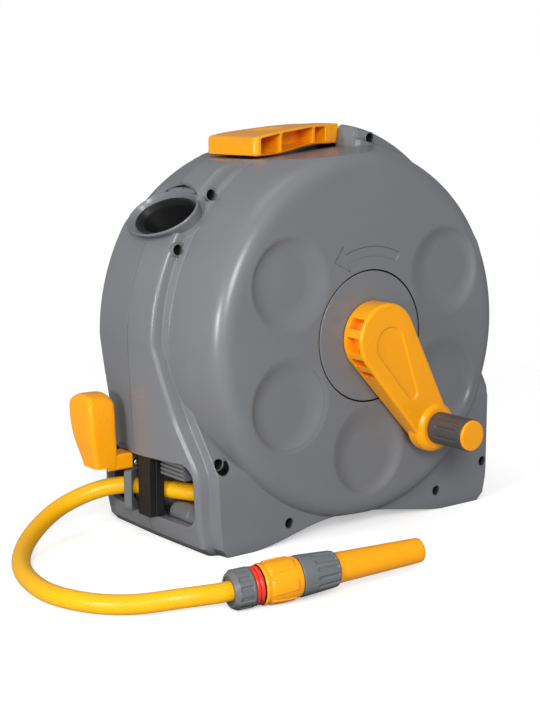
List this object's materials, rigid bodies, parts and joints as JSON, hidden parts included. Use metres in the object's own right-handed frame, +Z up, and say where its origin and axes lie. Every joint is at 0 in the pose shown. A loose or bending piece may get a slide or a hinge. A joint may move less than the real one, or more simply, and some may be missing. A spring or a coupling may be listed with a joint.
{
  "type": "hose reel",
  "caption": "Enclosed garden hose reel with a crank, a swinging hose guide, a carry handle, a nozzle pocket and a hose with a quick connector and nozzle.",
  "frame": {"origin": "middle of the footprint of the reel without its loose hose, on the ground", "axes": "+X to the right seen from the crank side, +Y to the back, away from the crank, +Z up"},
  "size_m": [0.5819, 0.3807, 0.4065],
  "materials": {
    "casing": "satin grey moulded plastic",
    "accent": "satin orange moulded plastic",
    "dark": "satin black moulded plastic",
    "grip": "matte dark grey",
    "hose": "smooth yellow hose",
    "ring": "satin red",
    "fitting": "satin grey",
    "steel": "zinc plated",
    "rubber": "matte black"
  },
  "bodies": {
    "casing": {"front_cover": "casing", "rear_cover": "casing", "nozzle_holster": "dark", "casing_screw_1": "steel", "casing_screw_2": "steel", "casing_screw_3": "steel", "casing_screw_4": "steel", "casing_screw_5": "steel", "casing_screw_6": "steel", "casing_screw_7": "steel", "guide_post": "dark", "guide_rail": "fitting", "guide_shelf": "fitting", "rear_bush": "dark", "inlet_connector": "fitting", "inlet_nut": "fitting", "inlet_seal": "rubber", "hose_run": "hose", "hose_free": "hose", "hose_nut": "fitting", "connector_tail": "fitting", "connector_ring": "ring", "connector_seal": "rubber", "nozzle_stem": "fitting", "nozzle_collar": "fitting"},
    "drum": {"drum_front_half": "dark", "drum_rear_half": "dark", "hub_disc": "casing", "hub_screw_1": "steel", "hub_screw_2": "steel", "hub_screw_3": "steel", "hub_screw_4": "steel", "axle_tube": "dark", "barrel_elbow": "dark", "hose_winding": "hose", "crank_arm": "accent", "crank_screw": "steel", "grip_spindle": "accent"},
    "grip": {"crank_grip": "grip"},
    "guide": {"guide_eye": "fitting", "guide_lever": "accent", "guide_screw": "steel"},
    "handle": {"carry_handle": "accent"},
    "release": {"connector_body": "accent"},
    "twist": {"nozzle_barrel": "accent"}
  },
  "joints": [
    {"name": "drum_turn", "type": "hinge", "parent": "casing", "child": "drum", "pos_m": [0.01901, 0.03955, 0.2], "axis": [0, -1, 0], "continuous": true},
    {"name": "grip_spin", "type": "hinge", "parent": "drum", "child": "grip", "pos_m": [0.0854, -0.12645, 0.1035], "axis": [0, -1, 0], "continuous": true},
    {"name": "guide_swing", "type": "hinge", "parent": "casing", "child": "guide", "pos_m": [-0.171, 0.06155, 0.058], "axis": [0, 0, 1], "range_deg": [-15, 20]},
    {"name": "handle_lift", "type": "hinge", "parent": "casing", "child": "handle", "pos_m": [0.07901, 0.03955, 0.3915], "axis": [0, 1, 0], "range_deg": [0, 85]},
    {"name": "connector_release", "type": "slide", "parent": "casing", "child": "release", "axis": [-0.9766, 0.2076, -0.0558], "range_m": [0, 0.004]},
    {"name": "nozzle_turn", "type": "hinge", "parent": "casing", "child": "twist", "pos_m": [-0.09467, -0.20711, 0.02592], "axis": [0.9766, -0.2076, 0.0558], "range_deg": [0, 360]}
  ]
}
